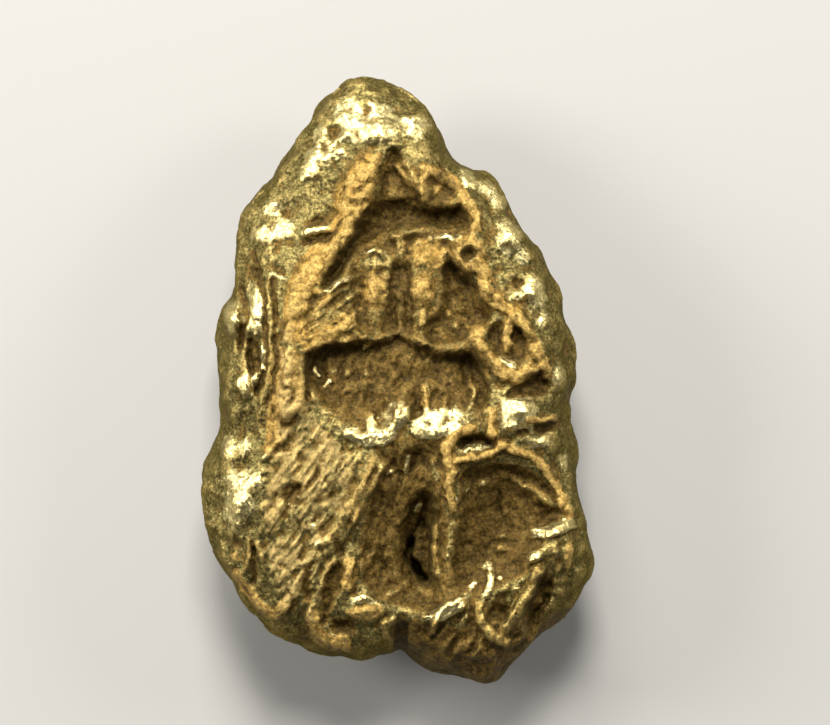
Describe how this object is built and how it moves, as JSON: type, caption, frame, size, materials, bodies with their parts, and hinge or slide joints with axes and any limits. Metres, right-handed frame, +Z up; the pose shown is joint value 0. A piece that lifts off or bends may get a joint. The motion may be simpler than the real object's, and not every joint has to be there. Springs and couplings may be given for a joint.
{
  "type": "gold nugget",
  "caption": "Natural gold nugget: a flattened, tapered lump with worn ridges, hollows and hammered flanks, lying on a worn flat underside.",
  "frame": {"origin": "on the surface the nugget rests on, under the middle of its box", "axes": "+Z up, +Y along the length towards the narrow end, +X across the width"},
  "size_m": [0.0158, 0.0243, 0.0074],
  "materials": {
    "gold": "native gold: worn matte ridges, brown-stained hollows and bright hammered flanks"
  },
  "bodies": {
    "root": {"nugget": "gold"}
  },
  "joints": []
}
